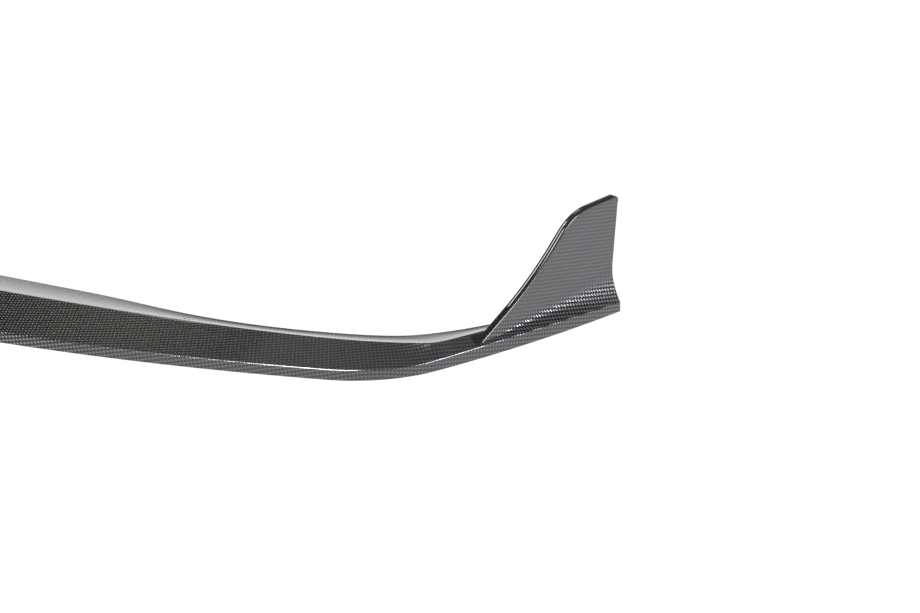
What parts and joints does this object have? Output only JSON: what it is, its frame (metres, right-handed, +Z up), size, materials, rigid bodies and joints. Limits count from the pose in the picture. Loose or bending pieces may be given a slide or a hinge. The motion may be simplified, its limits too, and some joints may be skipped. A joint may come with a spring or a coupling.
{
  "type": "front splitter lip",
  "caption": "Curved carbon-fibre front lip for a car bumper, with a sloping blade, a fixing flange behind it and an upright flared fin at each end.",
  "frame": {"origin": "middle of the lip's width and length, on the level that it stands on", "axes": "+X towards the end at the right of the picture; +Y rearwards, from the nose to the ends of the arms; +Z up, along the fins"},
  "size_m": [1.761, 0.5066, 0.1617],
  "materials": {
    "carbon": "2x2 twill carbon fibre under a gloss clear coat"
  },
  "bodies": {
    "root": {"front_lip": "carbon"}
  },
  "joints": []
}
